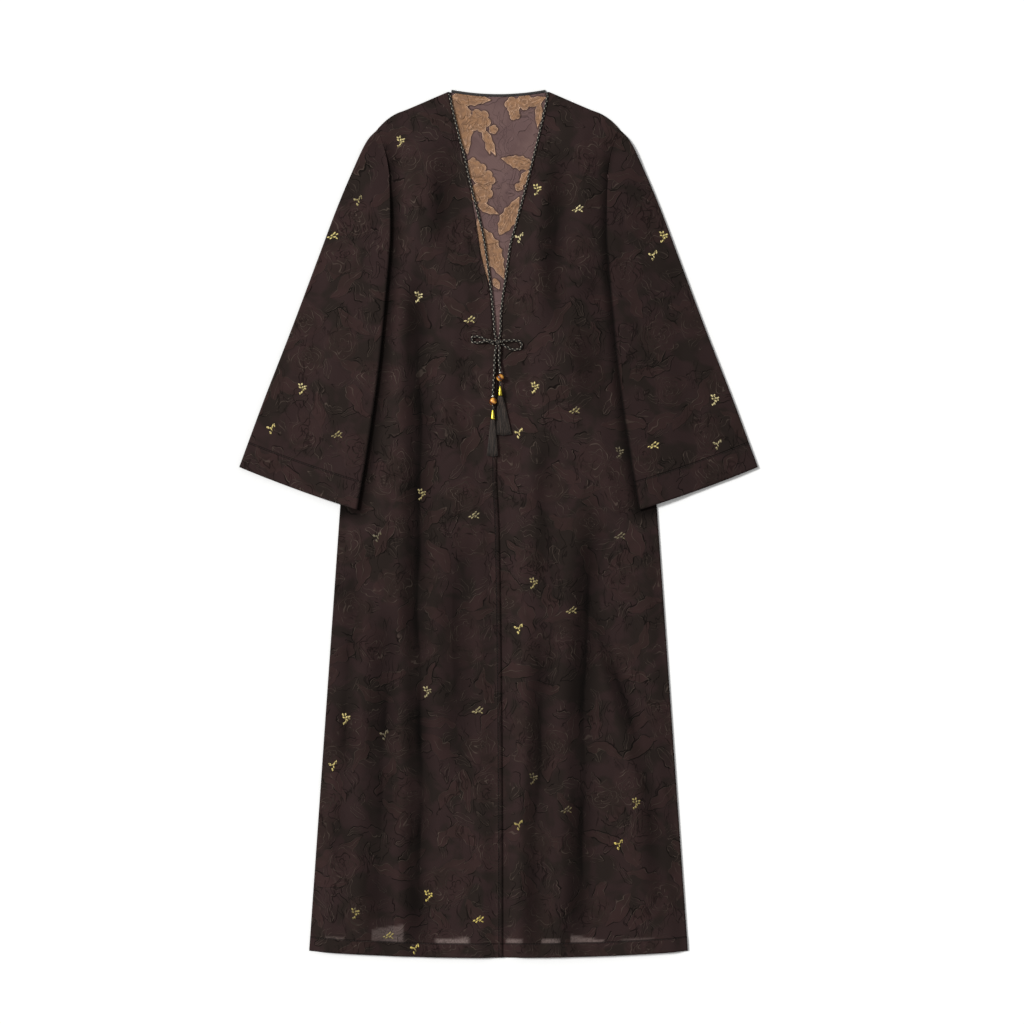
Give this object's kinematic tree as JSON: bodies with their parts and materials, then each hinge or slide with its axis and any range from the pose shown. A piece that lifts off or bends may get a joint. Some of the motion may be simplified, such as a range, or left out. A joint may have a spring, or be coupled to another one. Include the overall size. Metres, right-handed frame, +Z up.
{
  "type": "abaya",
  "caption": "Open-front abaya laid flat on its back: wide sleeves, deep V neckline edged with braided cord, and a small bow with beads and tassels.",
  "frame": {"origin": "bottom centre of the bounding box: on the surface it lies on, midway between collar and hem", "axes": "+Z up from the surface, +Y from hem to collar, +X to the wearer's left"},
  "size_m": [0.8304, 1.3895, 0.016],
  "materials": {
    "jacquard_cloth": "woven jacquard, low sheen, dark brown with gold sprigs",
    "jacquard_cloth_inside": "reverse of the same weave, mauve with tan figures",
    "black_tape": "matt bias tape",
    "braided_cord": "black braid with cream flecks",
    "silvered_metal": "polished",
    "banded_stone": "polished, brown and gold bands",
    "gilt_metal": "polished gilt",
    "tassel_thread": "loose dark grey thread"
  },
  "bodies": {
    "root": {"back_panel": "jacquard_cloth_inside", "front_right": "jacquard_cloth", "front_left": "jacquard_cloth", "sleeve_right": "jacquard_cloth", "sleeve_left": "jacquard_cloth", "neck_binding": "black_tape", "neck_cord_right": "braided_cord", "neck_cord_left": "braided_cord", "bow_knot": "braided_cord", "bow_loop_right": "braided_cord", "bow_loop_left": "braided_cord", "tie_end_right": "braided_cord", "tie_end_left": "braided_cord", "spacer_bead_right": "silvered_metal", "spacer_bead_left": "silvered_metal", "stone_bead_right": "banded_stone", "stone_bead_left": "banded_stone", "tassel_cap_right": "gilt_metal", "tassel_cap_left": "gilt_metal", "tassel_right": "tassel_thread", "tassel_left": "tassel_thread"}
  },
  "joints": []
}
